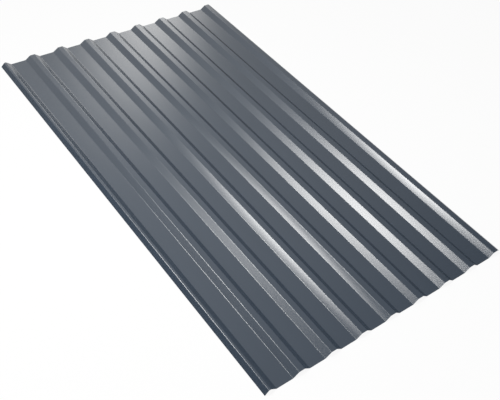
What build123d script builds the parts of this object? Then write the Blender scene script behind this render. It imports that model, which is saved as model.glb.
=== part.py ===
"""Trapezoidal corrugated steel sheet: one roll-formed sheet with straight ribs along its length.

Frame, in millimetres: X runs across the ribs, Y along them, Z up. The origin is at the middle of the
sheet's bounding box, on the plane of the pans' undersides, which is the plane that the sheet lies on.
The left edge (-X) is the underlap: a narrow rib ending in a sloping leg. The right edge (+X) is the
overlap: a full rib that ends in a short lip, so that it can lie over the next sheet's underlap.
"""

import os

from build123d import *

# Driving dimensions of the sheet
SHEET_LENGTH = 2000.0
SHEET_THICKNESS = 0.5
BEND_RADIUS = 5.0  # inside radius of every bend

# Driving dimensions of the repeating section
RIB_PITCH = 137.5
PITCH_COUNT = 8  # the cover width is this many pitches
PROFILE_DEPTH = 18.0  # from the underside of a pan to the underside of a crest
CREST_WIDTH = 24.0
PAN_WIDTH = 66.0

# Driving dimensions of the two edges
UNDERLAP_CREST_WIDTH = 8.0
UNDERLAP_LEG_RUN = 15.0
UNDERLAP_LEG_LIFT = 0.5  # gap left under the leg's free edge
OVERLAP_LIP_RUN = 10.0

# Sizes that follow from the driving dimensions
WEB_RUN = (RIB_PITCH - CREST_WIDTH - PAN_WIDTH) / 2
WEB_SLOPE = PROFILE_DEPTH / WEB_RUN
LAST_RIB = PITCH_COUNT * RIB_PITCH
LEFT_EDGE = CREST_WIDTH / 2 - UNDERLAP_CREST_WIDTH - UNDERLAP_LEG_RUN
RIGHT_EDGE = LAST_RIB + CREST_WIDTH / 2 + OVERLAP_LIP_RUN
MIDDLE = (LEFT_EDGE + RIGHT_EDGE) / 2


def crest(centre):
    """Two corners of a full crest's underside, from left to right."""
    half = CREST_WIDTH / 2
    return [(centre - half, PROFILE_DEPTH), (centre + half, PROFILE_DEPTH)]


def pan(left_rib):
    """Two corners of the underside of the pan to the right of a rib, from left to right."""
    start = left_rib + CREST_WIDTH / 2 + WEB_RUN
    return [(start, 0.0), (start + PAN_WIDTH, 0.0)]


def underside_corners():
    """Corners of the section's underside, from the underlap leg to the overlap lip."""
    crest_end = CREST_WIDTH / 2
    corners = [
        (LEFT_EDGE, UNDERLAP_LEG_LIFT),
        (crest_end - UNDERLAP_CREST_WIDTH, PROFILE_DEPTH),
        (crest_end, PROFILE_DEPTH),
    ]
    for rib in range(PITCH_COUNT):
        corners += pan(rib * RIB_PITCH)
        corners += crest((rib + 1) * RIB_PITCH)
    corners.append((RIGHT_EDGE, PROFILE_DEPTH - OVERLAP_LIP_RUN * WEB_SLOPE))
    return [Vector(x - MIDDLE, z) for x, z in corners]


def upper_normals(corners):
    """Unit normal of each straight stretch between corners, pointing to the upper face."""
    stretches = zip(corners[:-1], corners[1:])
    return [(end - start).normalized().rotate(Axis.Z, 90) for start, end in stretches]


def upper_corners(corners, normals):
    """Corners of the upper face: every stretch is moved by the sheet's thickness along its normal."""
    moved = [corners[0] + normals[0] * SHEET_THICKNESS]
    for corner, before, after in zip(corners[1:-1], normals[:-1], normals[1:]):
        moved.append(corner + (before + after) * (SHEET_THICKNESS / (1 + before.dot(after))))
    moved.append(corners[-1] + normals[-1] * SHEET_THICKNESS)
    return moved


def bend_radii(normals):
    """Radius of each bend on the underside and on the upper face: the larger one is on the outside."""
    outside = BEND_RADIUS + SHEET_THICKNESS
    turns_left = [before.cross(after).Z > 0 for before, after in zip(normals[:-1], normals[1:])]
    underside = [outside if left else BEND_RADIUS for left in turns_left]
    upper = [BEND_RADIUS if left else outside for left in turns_left]
    return underside, upper


def sheet_section():
    """The sheet's cross-section, a strip of one thickness, drawn with Z along the sketch's Y."""
    corners = underside_corners()
    normals = upper_normals(corners)
    underside_radii, upper_radii = bend_radii(normals)
    with BuildSketch() as section:
        with BuildLine():
            underside = FilletPolyline(*corners, radius=underside_radii)
            upper = FilletPolyline(*upper_corners(corners, normals), radius=upper_radii)
            Line(underside @ 0, upper @ 0)
            Line(underside @ 1, upper @ 1)
        make_face()
    return section.sketch


def corrugated_sheet():
    """The section, set upright at the sheet's back end and extruded along the ribs to its front end."""
    back_end = Plane.XZ.offset(-SHEET_LENGTH / 2)
    return extrude(back_end * sheet_section(), amount=SHEET_LENGTH)


os.makedirs("parts", exist_ok=True)
sheet = corrugated_sheet()
sheet.label = "corrugated_sheet"
export_step(sheet, "parts/corrugated_sheet.step")
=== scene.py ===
"""Looks of the trapezoidal corrugated steel sheet, in metres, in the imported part's own frame.

The piece repeats the part's section with finer bends and the slight unevenness of rolled sheet. Its
upper face has a satin coil coating, its underside a thin grey backing coat, and its cut edges show
bare metal.
"""

import math

import bpy
import numpy as np
from mathutils import Matrix, Vector


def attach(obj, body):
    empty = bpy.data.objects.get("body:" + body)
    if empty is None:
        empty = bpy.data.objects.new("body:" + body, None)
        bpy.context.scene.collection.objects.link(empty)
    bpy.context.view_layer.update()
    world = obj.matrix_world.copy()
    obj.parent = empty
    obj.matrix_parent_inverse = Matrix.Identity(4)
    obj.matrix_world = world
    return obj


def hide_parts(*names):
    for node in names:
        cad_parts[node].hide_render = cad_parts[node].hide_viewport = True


MM = 0.001

# Sizes of the sheet, as in the part's source
SHEET_LENGTH = 2000.0 * MM
SHEET_THICKNESS = 0.5 * MM
BEND_RADIUS = 5.0 * MM
RIB_PITCH = 137.5 * MM
PITCH_COUNT = 8
PROFILE_DEPTH = 18.0 * MM
CREST_WIDTH = 24.0 * MM
PAN_WIDTH = 66.0 * MM
UNDERLAP_CREST_WIDTH = 8.0 * MM
UNDERLAP_LEG_RUN = 15.0 * MM
UNDERLAP_LEG_LIFT = 0.5 * MM
OVERLAP_LIP_RUN = 10.0 * MM

WEB_RUN = (RIB_PITCH - CREST_WIDTH - PAN_WIDTH) / 2
WEB_SLOPE = PROFILE_DEPTH / WEB_RUN
LEFT_EDGE = CREST_WIDTH / 2 - UNDERLAP_CREST_WIDTH - UNDERLAP_LEG_RUN
RIGHT_EDGE = PITCH_COUNT * RIB_PITCH + CREST_WIDTH / 2 + OVERLAP_LIP_RUN
MIDDLE = (LEFT_EDGE + RIGHT_EDGE) / 2
STRETCHES_PER_PITCH = 4  # a web, a crest, a web and a pan

# Fineness of the mesh
BEND_STEPS = 12
FLAT_STEPS = 10
LENGTH_STEPS = 40
SUPPORT_STRIP = 0.4 * MM  # a narrow strip beside each bend keeps the shading of the flats flat

# Unevenness of the rolled sheet, with the left webs from the second rib to the last
LEFT_WEB_TILTS_DEG = (0.4, -1.3, -1.1, 1.7, 2.1, -2.6, -0.8, 0.9)  # steeper than the part's
LEFT_WEB_CURLS_DEG = (0.0, 0.5, -3.0, 3.5, 0.0, 0.5, 0.0, 4.0)  # steeper at the crest than at the pan
LEFT_WEB_SHIFTS = (1.6 * MM,) * 3 + (0.4 * MM,) * 5  # to the right
PAN_CROWN = 0.12 * MM  # most that a pan's middle stands above its edges
CROWN_MEAN = 0.6  # share of that rise
CROWN_SWING = 0.4
CROWN_WAVE_LENGTH = 0.9
CROWN_PAN_PHASE = 1.7  # from one pan's wave to the next, in radians

# Numbers of the sheet's materials
UPPER = 0
UNDER = 1
CUT = 2

# Noise of the materials, with scales in features per metre across and along the sheet
DEVELOPED_MAP = "developed"
NOISE_SPAN = (0.3, 0.7)  # the part of the noise that is spread over a material's range
RELIEF_DEPTH = 0.1 * MM

# Coil coating of the upper face
COAT_CLOUDS = (7.0, 2.5)
COAT_STREAKS = (420.0, 1.6)
COAT_PEEL = (700.0, 700.0)
COAT_PEEL_STRENGTH = 0.05
COAT_COLOURS = ((0.0453, 0.0634, 0.0896), (0.0484, 0.0672, 0.0951))
COAT_ROUGHNESS = (0.212, 0.226)
COAT_SPECULAR = 1.0

# Backing coat of the underside
BACKING_STREAKS = (260.0, 1.2)
BACKING_CLOUDS = (9.0, 3.0)
BACKING_COLOURS = ((0.44, 0.45, 0.44), (0.50, 0.51, 0.50))
BACKING_ROUGHNESS = (0.48, 0.60)

# Bare metal of the cut edges
CUT_LINES = (900.0, 900.0)
CUT_LINE_STRENGTH = 0.1
CUT_COLOURS = ((0.40, 0.41, 0.42), (0.56, 0.57, 0.58))
CUT_ROUGHNESS = (0.38, 0.55)
CUT_METALLIC = 0.9

# White floor
FLOOR_HALF_SIDE = 60.0
FLOOR_DROP = 0.2 * MM
FLOOR_PAPER = (0.90, 0.90, 0.90, 1.0)
FLOOR_WHITE = (1.0, 1.0, 1.0, 1.0)
FLOOR_WHITE_SHARE = 0.92  # even white in what is seen of the floor

# Camera, fitted to the outline in the photograph, whose frame is 500 by 400
EYE = Vector((-1.54393, -1.92839, 2.17434))
CAMERA_RIGHT = Vector((0.793399, -0.599204, 0.107113))
CAMERA_DOWN = Vector((-0.344026, -0.586585, -0.733187))
SENSOR_WIDTH_MM = 36.0
LENS_MM = 56.395
SHIFT = (-0.03843, -0.06266)
VIEW_END = 200.0

# Lamp: a soft box over the left side, which lights the dull part of every surface
LAMP_PLACE = Vector((-1.05, -0.02, 2.80))
LAMP_SIZE = (0.85, 1.16)
LAMP_WATTS = 76.0

# Tint of the cards and the world
LIGHT_TINT = (1.0, 0.988, 0.965, 1.0)

# Soft white cards that only reflections see: one behind the lamp, and one far behind the right side
SIDE_CARD_PLACE = Vector((-1.564, 1.008, 2.562))
SIDE_CARD_HALF = (0.86, 1.165)
SIDE_CARD_TURN_DEG = -47.6
SIDE_CARD_LEVEL = 18.1
BACK_CARD_PLACE = Vector((2.02, 3.98, 1.98))
BACK_CARD_HALF = (0.76, 1.82)
BACK_CARD_TURN_DEG = -20.3
BACK_CARD_LEVEL = 4.09

# Dark card beside the underlap edge, which only reflections see
DARK_CARD_X = -2.2
DARK_CARD_Y = (-1.4, 4.6)
DARK_CARD_TOP = 1.1
DARK_CARD_FADE_Y = (1.3, 3.0)  # along the card, from black to grey
DARK_CARD_GREY = 0.22

# World: an even dim grey, a broad glow behind the sheet, and a pale band along the horizon
WORLD_LEVEL = 0.083
GLOW_AXIS = Vector((-0.024, 0.891, 0.453))
GLOW_EDGE = 0.536  # cosine of the angle from the axis at which the glow ends
GLOW_LEVEL = 0.93
HORIZON_LEVEL = 0.40
HORIZON_HEIGHTS = (0.10, 0.28)  # sines of the heights between which the band fades


def underside_corners():
    """Corners of the section's underside, from the underlap leg to the overlap lip."""
    half = CREST_WIDTH / 2
    corners = [(LEFT_EDGE, UNDERLAP_LEG_LIFT)]
    corners.append((half - UNDERLAP_CREST_WIDTH, PROFILE_DEPTH))
    corners.append((half, PROFILE_DEPTH))
    for rib in range(1, PITCH_COUNT + 1):
        corners.append(((rib - 1) * RIB_PITCH + half + WEB_RUN, 0.0))
        corners += left_web_corners(rib)
        corners.append((rib * RIB_PITCH + half, PROFILE_DEPTH))
    corners.append((RIGHT_EDGE, PROFILE_DEPTH - OVERLAP_LIP_RUN * WEB_SLOPE))
    return [Vector((x - MIDDLE, z)) for x, z in corners]


def left_web_corners(rib):
    """Lower and upper corner of a rib's left web, which is tilted about its middle."""
    middle = rib * RIB_PITCH - CREST_WIDTH / 2 - WEB_RUN / 2 + LEFT_WEB_SHIFTS[rib - 1]
    angle = math.atan(WEB_SLOPE) + math.radians(LEFT_WEB_TILTS_DEG[rib - 1])
    half = PROFILE_DEPTH / math.tan(angle) / 2
    return [(middle - half, 0.0), (middle + half, PROFILE_DEPTH)]


def stretch_curls(count):
    """Curl of every stretch between two corners; only the left webs, each fourth stretch, have one."""
    curls = [0.0] * count
    for rib, curl in enumerate(LEFT_WEB_CURLS_DEG, 1):
        curls[STRETCHES_PER_PITCH * rib] = math.radians(curl)
    return curls


def turned(direction, angle=math.pi / 2):
    """The direction turned to the left; a quarter turn points to the upper side of the section."""
    cosine = math.cos(angle)
    sine = math.sin(angle)
    return Vector((direction.x * cosine - direction.y * sine, direction.x * sine + direction.y * cosine))


def bend_points(corner, before, after, thickness_share):
    """Points of one bend; the share says how far from the underside to the upper face."""
    turn = before.x * after.y - before.y * after.x  # sine of the bend's angle, positive to the left
    radius = BEND_RADIUS + SHEET_THICKNESS * (1 - thickness_share if turn > 0 else thickness_share)
    sweep = math.asin(turn)
    side = 1 if turn > 0 else -1
    normal_before = turned(before)
    offset = SHEET_THICKNESS * thickness_share
    setback = (BEND_RADIUS + (SHEET_THICKNESS if turn > 0 else 0.0)) * math.tan(abs(sweep) / 2)
    start = corner - before * setback + normal_before * offset
    centre = start + normal_before * (side * radius)
    points = []
    for step in range(BEND_STEPS + 1):
        normal = turned(normal_before, sweep * step / BEND_STEPS)
        points.append(centre - normal * (side * radius))
    return points


def section_line(thickness_share):
    """Points of one face of the section from left to right, along its stretches and bends."""
    corners = underside_corners()
    runs = [(end - start).normalized() for start, end in zip(corners[:-1], corners[1:])]
    curls = stretch_curls(len(runs))
    starts = [turned(run, -curl / 2) for run, curl in zip(runs, curls)]
    ends = [turned(run, curl / 2) for run, curl in zip(runs, curls)]
    offset = SHEET_THICKNESS * thickness_share
    bends = [[corners[0] + turned(runs[0]) * offset]]
    for corner, before, after in zip(corners[1:-1], ends[:-1], starts[1:]):
        bends.append(bend_points(corner, before, after, thickness_share))
    bends.append([corners[-1] + turned(runs[-1]) * offset])
    line = list(bends[0])
    for following, curl in zip(bends[1:], curls):
        line += stretch_points(line[-1], following[0], curl)
        line += following
    return line


def stretch_points(start, end, curl):
    """Inner points of a stretch: a narrow strip at each end, even steps between, bowed by its curl."""
    strip = SUPPORT_STRIP / (end - start).length
    shares = [strip] + [step / FLAT_STEPS for step in range(1, FLAT_STEPS)] + [1 - strip]
    bow = turned(end - start) * (curl / 2)
    return [start.lerp(end, share) + bow * (share * share - share) for share in shares]


def pan_crown(x, y):
    """Rise of a pan at a place: none at its edges, most at its middle, varying along the sheet."""
    place = (x + MIDDLE - CREST_WIDTH / 2 - WEB_RUN) / RIB_PITCH
    pan = math.floor(place)
    across = (place - pan) * RIB_PITCH / PAN_WIDTH
    if pan < 0 or pan >= PITCH_COUNT or across >= 1:
        return 0.0
    angle = 2 * math.pi * y / CROWN_WAVE_LENGTH + CROWN_PAN_PHASE * pan
    wave = CROWN_MEAN + CROWN_SWING * math.sin(angle)
    return PAN_CROWN * wave * math.sin(math.pi * across) ** 2


def face_places(line, stations):
    """Vertices of one face of the sheet, a row of section points at each station along the length."""
    rows = []
    for y in stations:
        rows += [(p.x, y, p.y + pan_crown(p.x, y)) for p in line]
    return np.array(rows)


def developed_widths(line):
    """Distance of each section point from the left edge, measured along the sheet."""
    steps = [0.0] + [(b - a).length for a, b in zip(line[:-1], line[1:])]
    return np.cumsum(steps)


def sheet_faces(rows, columns):
    """Quads of the upper face, the underside and the four cut edges, each with its material's number."""
    shift = rows * columns
    quads = []
    for r in range(rows - 1):
        for c in range(columns - 1):
            a = r * columns + c
            quads.append(((a, a + 1, a + columns + 1, a + columns), UPPER))
            b = a + shift
            quads.append(((b, b + columns, b + columns + 1, b + 1), UNDER))
    last = (rows - 1) * columns
    for c in range(columns - 1):
        quads.append(((c, c + shift, c + shift + 1, c + 1), CUT))
        d = last + c
        quads.append(((d, d + 1, d + shift + 1, d + shift), CUT))
    for r in range(rows - 1):
        a = r * columns
        quads.append(((a, a + columns, a + columns + shift, a + shift), CUT))
        b = a + columns - 1
        quads.append(((b, b + shift, b + columns + shift, b + columns), CUT))
    return quads


def sheet_mesh():
    """The whole sheet as one closed mesh, with a map of its developed width and length in metres."""
    upper = section_line(1.0)
    under = section_line(0.0)
    stations = np.linspace(-SHEET_LENGTH / 2, SHEET_LENGTH / 2, LENGTH_STEPS + 1)
    places = np.concatenate([face_places(upper, stations), face_places(under, stations)])
    quads = sheet_faces(len(stations), len(upper))
    mesh = bpy.data.meshes.new("corrugated_sheet_visual")
    mesh.from_pydata([tuple(p) for p in places], [], [quad for quad, _ in quads])
    mesh.polygons.foreach_set("material_index", [number for _, number in quads])
    mesh.polygons.foreach_set("use_smooth", [number != CUT for _, number in quads])
    widths = np.tile(developed_widths(upper), 2 * len(stations))
    add_developed_map(mesh, widths, places[:, 1] + SHEET_LENGTH / 2)
    sharp_edges(mesh)
    mesh.update()
    return mesh


def add_developed_map(mesh, widths, lengths):
    """Maps every corner of the mesh to its vertex's place on the developed sheet."""
    developed = mesh.uv_layers.new(name=DEVELOPED_MAP)
    corners = np.zeros(len(mesh.loops), dtype=np.int32)
    mesh.loops.foreach_get("vertex_index", corners)
    pairs = np.stack([widths[corners], lengths[corners]], 1)
    developed.data.foreach_set("uv", pairs.astype(np.float32).ravel())


def sharp_edges(mesh):
    """Marks the borders between the faces and the cut edges as sharp."""
    kinds = {}
    for polygon in mesh.polygons:
        for key in polygon.edge_keys:
            kinds.setdefault(key, set()).add(polygon.material_index)
    for edge in mesh.edges:
        edge.use_edge_sharp = CUT in kinds[edge.key]


def ranged(tree, value, old, new, kind="LINEAR"):
    """A value carried from one range to another, and held at its ends."""
    spread = tree.nodes.new("ShaderNodeMapRange")
    spread.interpolation_type = kind
    for name, number in zip(("From Min", "From Max", "To Min", "To Max"), (*old, *new)):
        spread.inputs[name].default_value = number
    tree.links.new(value, spread.inputs["Value"])
    return spread.outputs["Result"]


def combined(tree, first, second, operation):
    """Sum, product or larger one of two outputs."""
    result = tree.nodes.new("ShaderNodeMath")
    result.operation = operation
    tree.links.new(first, result.inputs[0])
    tree.links.new(second, result.inputs[1])
    return result.outputs[0]


def sheet_material(name):
    """A node material with its shader and the coordinates of the developed sheet."""
    material = bpy.data.materials.new(name)
    material.use_nodes = True
    tree = material.node_tree
    shader = tree.nodes["Principled BSDF"]
    coordinates = tree.nodes.new("ShaderNodeUVMap")
    coordinates.uv_map = DEVELOPED_MAP
    return material, tree, shader, coordinates


def stage_material(name):
    """A node material with no shader yet."""
    material = bpy.data.materials.new(name)
    material.use_nodes = True
    tree = material.node_tree
    tree.nodes.remove(tree.nodes["Principled BSDF"])
    return material, tree


def noise(tree, coordinates, scale, detail):
    """Noise over the developed sheet, with its own scale across and along the sheet."""
    mapping = tree.nodes.new("ShaderNodeMapping")
    mapping.inputs["Scale"].default_value = (scale[0], scale[1], 1.0)
    texture = tree.nodes.new("ShaderNodeTexNoise")
    texture.inputs["Scale"].default_value = 1.0
    texture.inputs["Detail"].default_value = detail
    tree.links.new(coordinates.outputs["UV"], mapping.inputs["Vector"])
    tree.links.new(mapping.outputs["Vector"], texture.inputs["Vector"])
    return texture.outputs["Fac"]


def vary_colour(tree, shader, factor, colours):
    """Spreads noise between a darker and a lighter colour of a shader."""
    darker, lighter = colours
    mix = tree.nodes.new("ShaderNodeMix")
    mix.data_type = "RGBA"
    mix.inputs["A"].default_value = (*darker, 1.0)
    mix.inputs["B"].default_value = (*lighter, 1.0)
    tree.links.new(ranged(tree, factor, NOISE_SPAN, (0.0, 1.0)), mix.inputs["Factor"])
    tree.links.new(mix.outputs["Result"], shader.inputs["Base Color"])


def vary_roughness(tree, shader, factor, limits):
    """Spreads noise between the lowest and the highest roughness of a shader."""
    tree.links.new(ranged(tree, factor, NOISE_SPAN, limits), shader.inputs["Roughness"])


def add_bump(tree, shader, height, strength):
    """Fine relief on a shader."""
    bump = tree.nodes.new("ShaderNodeBump")
    bump.inputs["Strength"].default_value = strength
    bump.inputs["Distance"].default_value = RELIEF_DEPTH
    tree.links.new(height, bump.inputs["Height"])
    tree.links.new(bump.outputs["Normal"], shader.inputs["Normal"])


def top_coat():
    """Satin blue-grey coil coating: faint clouds, roller streaks along the sheet, fine orange peel."""
    material, tree, shader, coordinates = sheet_material("coil_coating")
    clouds = noise(tree, coordinates, COAT_CLOUDS, detail=3.0)
    streaks = noise(tree, coordinates, COAT_STREAKS, detail=2.0)
    peel = noise(tree, coordinates, COAT_PEEL, detail=1.0)
    vary_colour(tree, shader, clouds, COAT_COLOURS)
    vary_roughness(tree, shader, streaks, COAT_ROUGHNESS)
    shader.inputs["Specular IOR Level"].default_value = COAT_SPECULAR
    add_bump(tree, shader, peel, COAT_PEEL_STRENGTH)
    return material


def backing_coat():
    """Thin light grey backing coat, duller than the upper face, with faint roller streaks."""
    material, tree, shader, coordinates = sheet_material("backing_coat")
    streaks = noise(tree, coordinates, BACKING_STREAKS, detail=3.0)
    clouds = noise(tree, coordinates, BACKING_CLOUDS, detail=3.0)
    vary_colour(tree, shader, streaks, BACKING_COLOURS)
    vary_roughness(tree, shader, clouds, BACKING_ROUGHNESS)
    return material


def cut_metal():
    """Bare zinc-coated steel of the sheared edges, with the fine lines that the shear leaves."""
    material, tree, shader, coordinates = sheet_material("cut_metal")
    lines = noise(tree, coordinates, CUT_LINES, detail=2.0)
    vary_colour(tree, shader, lines, CUT_COLOURS)
    vary_roughness(tree, shader, lines, CUT_ROUGHNESS)
    shader.inputs["Metallic"].default_value = CUT_METALLIC
    add_bump(tree, shader, lines, CUT_LINE_STRENGTH)
    return material


def add_sheet():
    """The sheet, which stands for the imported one."""
    mesh = sheet_mesh()
    for material in (top_coat(), backing_coat(), cut_metal()):
        mesh.materials.append(material)
    piece = bpy.data.objects.new("corrugated_sheet_visual", mesh)
    bpy.context.scene.collection.objects.link(piece)
    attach(piece, "root")
    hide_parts("corrugated_sheet")


def floor_material():
    """White floor: what is seen of it is mostly even white, and the rest keeps the sheet's shadow."""
    material, tree = stage_material("white_floor")
    paper = tree.nodes.new("ShaderNodeBsdfDiffuse")
    paper.inputs["Color"].default_value = FLOOR_PAPER
    white = tree.nodes.new("ShaderNodeEmission")
    white.inputs["Color"].default_value = FLOOR_WHITE
    mix = tree.nodes.new("ShaderNodeMixShader")
    tree.links.new(seen_share(tree, FLOOR_WHITE_SHARE), mix.inputs["Fac"])
    tree.links.new(paper.outputs["BSDF"], mix.inputs[1])
    tree.links.new(white.outputs["Emission"], mix.inputs[2])
    tree.links.new(mix.outputs["Shader"], tree.nodes["Material Output"].inputs["Surface"])
    return material


def seen_share(tree, share):
    """The share for rays from the camera, off glossy faces or through clear ones, else nothing."""
    path = tree.nodes.new("ShaderNodeLightPath")
    total = path.outputs["Is Camera Ray"]
    for name in ("Is Glossy Ray", "Is Transmission Ray"):
        total = combined(tree, total, path.outputs[name], "MAXIMUM")
    return ranged(tree, total, (0.0, 1.0), (0.0, share))


def add_floor():
    """A wide plain floor under the sheet."""
    side = FLOOR_HALF_SIDE
    mesh = bpy.data.meshes.new("floor")
    corners = [(-side, -side, 0.0), (side, -side, 0.0), (side, side, 0.0), (-side, side, 0.0)]
    mesh.from_pydata(corners, [], [(0, 1, 2, 3)])
    mesh.materials.append(floor_material())
    floor = bpy.data.objects.new("floor", mesh)
    floor.location.z = -FLOOR_DROP
    bpy.context.scene.collection.objects.link(floor)


def facing_middle(place, turn_deg):
    """Matrix of a lamp or card at a place, whose back is turned away from the middle of the sheet."""
    away = place.normalized()
    level = Vector((0.0, 0.0, 1.0)).cross(away).normalized()
    axes = Matrix((level, away.cross(level), away)).transposed().to_4x4()
    return Matrix.Translation(place) @ axes @ Matrix.Rotation(math.radians(turn_deg), 4, "Z")


def add_lamp():
    """The rectangular soft lamp; reflections show the white cards instead, which have soft borders."""
    lamp = bpy.data.lights.new("soft_box", "AREA")
    lamp.shape = "RECTANGLE"
    lamp.size = LAMP_SIZE[0]
    lamp.size_y = LAMP_SIZE[1]
    lamp.energy = LAMP_WATTS
    stand = bpy.data.objects.new("soft_box", lamp)
    stand.matrix_world = facing_middle(LAMP_PLACE, 0.0)
    stand.visible_camera = False
    stand.visible_glossy = False
    bpy.context.scene.collection.objects.link(stand)


def card_material(name, sampling):
    """A card's material, its light, and the outputs that tell the place on the card."""
    material, tree = stage_material(name)
    material.cycles.emission_sampling = sampling
    parts = tree.nodes.new("ShaderNodeSeparateXYZ")
    tree.links.new(tree.nodes.new("ShaderNodeTexCoord").outputs["Object"], parts.inputs["Vector"])
    glow = tree.nodes.new("ShaderNodeEmission")
    glow.inputs["Color"].default_value = LIGHT_TINT
    return material, tree, glow, parts.outputs


def add_card(name, corners, material):
    """A flat card of four corners that only reflections see."""
    mesh = bpy.data.meshes.new(name)
    mesh.from_pydata(corners, [], [(0, 1, 2, 3)])
    mesh.materials.append(material)
    card = bpy.data.objects.new(name, mesh)
    card.visible_camera = False
    card.visible_diffuse = False
    card.visible_transmission = False
    card.visible_shadow = False
    bpy.context.scene.collection.objects.link(card)
    return card


def faded(tree, distance, half, level):
    """A level on a card's middle line that falls smoothly to nothing at its border."""
    size = tree.nodes.new("ShaderNodeMath")
    size.operation = "ABSOLUTE"
    tree.links.new(distance, size.inputs[0])
    return ranged(tree, size.outputs[0], (0.0, half), (level, 0.0), "SMOOTHSTEP")


def white_card_material(name, half, level):
    """Clear veil whose own light is brightest at a card's middle and fades out at its borders."""
    material, tree, glow, place = card_material(name, "FRONT")
    across = faded(tree, place["X"], half[0], level)
    along = faded(tree, place["Y"], half[1], 1.0)
    tree.links.new(combined(tree, across, along, "MULTIPLY"), glow.inputs["Strength"])
    clear = tree.nodes.new("ShaderNodeBsdfTransparent")
    veil = tree.nodes.new("ShaderNodeAddShader")
    tree.links.new(clear.outputs["BSDF"], veil.inputs[0])
    tree.links.new(glow.outputs["Emission"], veil.inputs[1])
    tree.links.new(veil.outputs["Shader"], tree.nodes["Material Output"].inputs["Surface"])
    return material


def add_white_card(name, place, half, turn_deg, level):
    """A soft white card that faces the middle of the sheet."""
    u, v = half
    corners = [(-u, -v, 0.0), (-u, v, 0.0), (u, v, 0.0), (u, -v, 0.0)]
    card = add_card(name, corners, white_card_material(name, half, level))
    card.matrix_world = facing_middle(place, turn_deg)


def dark_card_material(name):
    """Black at the dark card's near end, turning to grey towards its far end."""
    material, tree, glow, place = card_material(name, "NONE")
    grey = ranged(tree, place["Y"], DARK_CARD_FADE_Y, (0.0, DARK_CARD_GREY))
    tree.links.new(grey, glow.inputs["Strength"])
    tree.links.new(glow.outputs["Emission"], tree.nodes["Material Output"].inputs["Surface"])
    return material


def add_dark_card():
    """The dark card, upright beside the sheet's left edge."""
    near, far = DARK_CARD_Y
    feet = [(DARK_CARD_X, near, 0.0), (DARK_CARD_X, far, 0.0)]
    heads = [(DARK_CARD_X, far, DARK_CARD_TOP), (DARK_CARD_X, near, DARK_CARD_TOP)]
    add_card("dark_card", feet + heads, dark_card_material("dark_card"))


def add_world():
    """Soft studio surroundings: dim, with a broad glow high behind the sheet and a pale horizon."""
    world = bpy.data.worlds.new("studio")
    world.use_nodes = True
    tree = world.node_tree
    direction = tree.nodes.new("ShaderNodeTexCoord").outputs["Generated"]
    along_axis = tree.nodes.new("ShaderNodeVectorMath")
    along_axis.operation = "DOT_PRODUCT"
    along_axis.inputs[1].default_value = GLOW_AXIS.normalized()
    tree.links.new(direction, along_axis.inputs[0])
    glow = ranged(tree, along_axis.outputs["Value"], (GLOW_EDGE, 1.0), (0.0, GLOW_LEVEL))
    parts = tree.nodes.new("ShaderNodeSeparateXYZ")
    tree.links.new(direction, parts.inputs["Vector"])
    band = ranged(tree, parts.outputs["Z"], HORIZON_HEIGHTS, (HORIZON_LEVEL, WORLD_LEVEL))
    background = tree.nodes["Background"]
    background.inputs["Color"].default_value = LIGHT_TINT
    tree.links.new(combined(tree, glow, band, "ADD"), background.inputs["Strength"])
    bpy.context.scene.world = world


def add_camera():
    """The camera that took the photograph."""
    lens = bpy.data.cameras.new("camera")
    lens.sensor_width = SENSOR_WIDTH_MM
    lens.lens = LENS_MM
    lens.shift_x = SHIFT[0]
    lens.shift_y = SHIFT[1]
    lens.clip_end = VIEW_END
    camera = bpy.data.objects.new("camera", lens)
    right = CAMERA_RIGHT.normalized()
    up = (-CAMERA_DOWN).normalized()
    turn = Matrix((right, up, right.cross(up))).transposed()
    camera.matrix_world = Matrix.Translation(EYE) @ turn.to_4x4()
    bpy.context.scene.collection.objects.link(camera)
    bpy.context.scene.camera = camera


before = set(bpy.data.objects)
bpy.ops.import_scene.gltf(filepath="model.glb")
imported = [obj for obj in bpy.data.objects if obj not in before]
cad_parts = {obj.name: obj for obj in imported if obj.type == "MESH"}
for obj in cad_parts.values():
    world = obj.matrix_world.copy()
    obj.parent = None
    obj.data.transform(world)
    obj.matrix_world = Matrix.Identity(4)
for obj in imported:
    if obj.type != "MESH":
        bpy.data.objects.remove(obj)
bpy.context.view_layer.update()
bpy.context.scene.view_settings.view_transform = "Standard"
add_sheet()
add_floor()
add_lamp()
add_white_card("side_card", SIDE_CARD_PLACE, SIDE_CARD_HALF, SIDE_CARD_TURN_DEG, SIDE_CARD_LEVEL)
add_white_card("back_card", BACK_CARD_PLACE, BACK_CARD_HALF, BACK_CARD_TURN_DEG, BACK_CARD_LEVEL)
add_dark_card()
add_world()
add_camera()
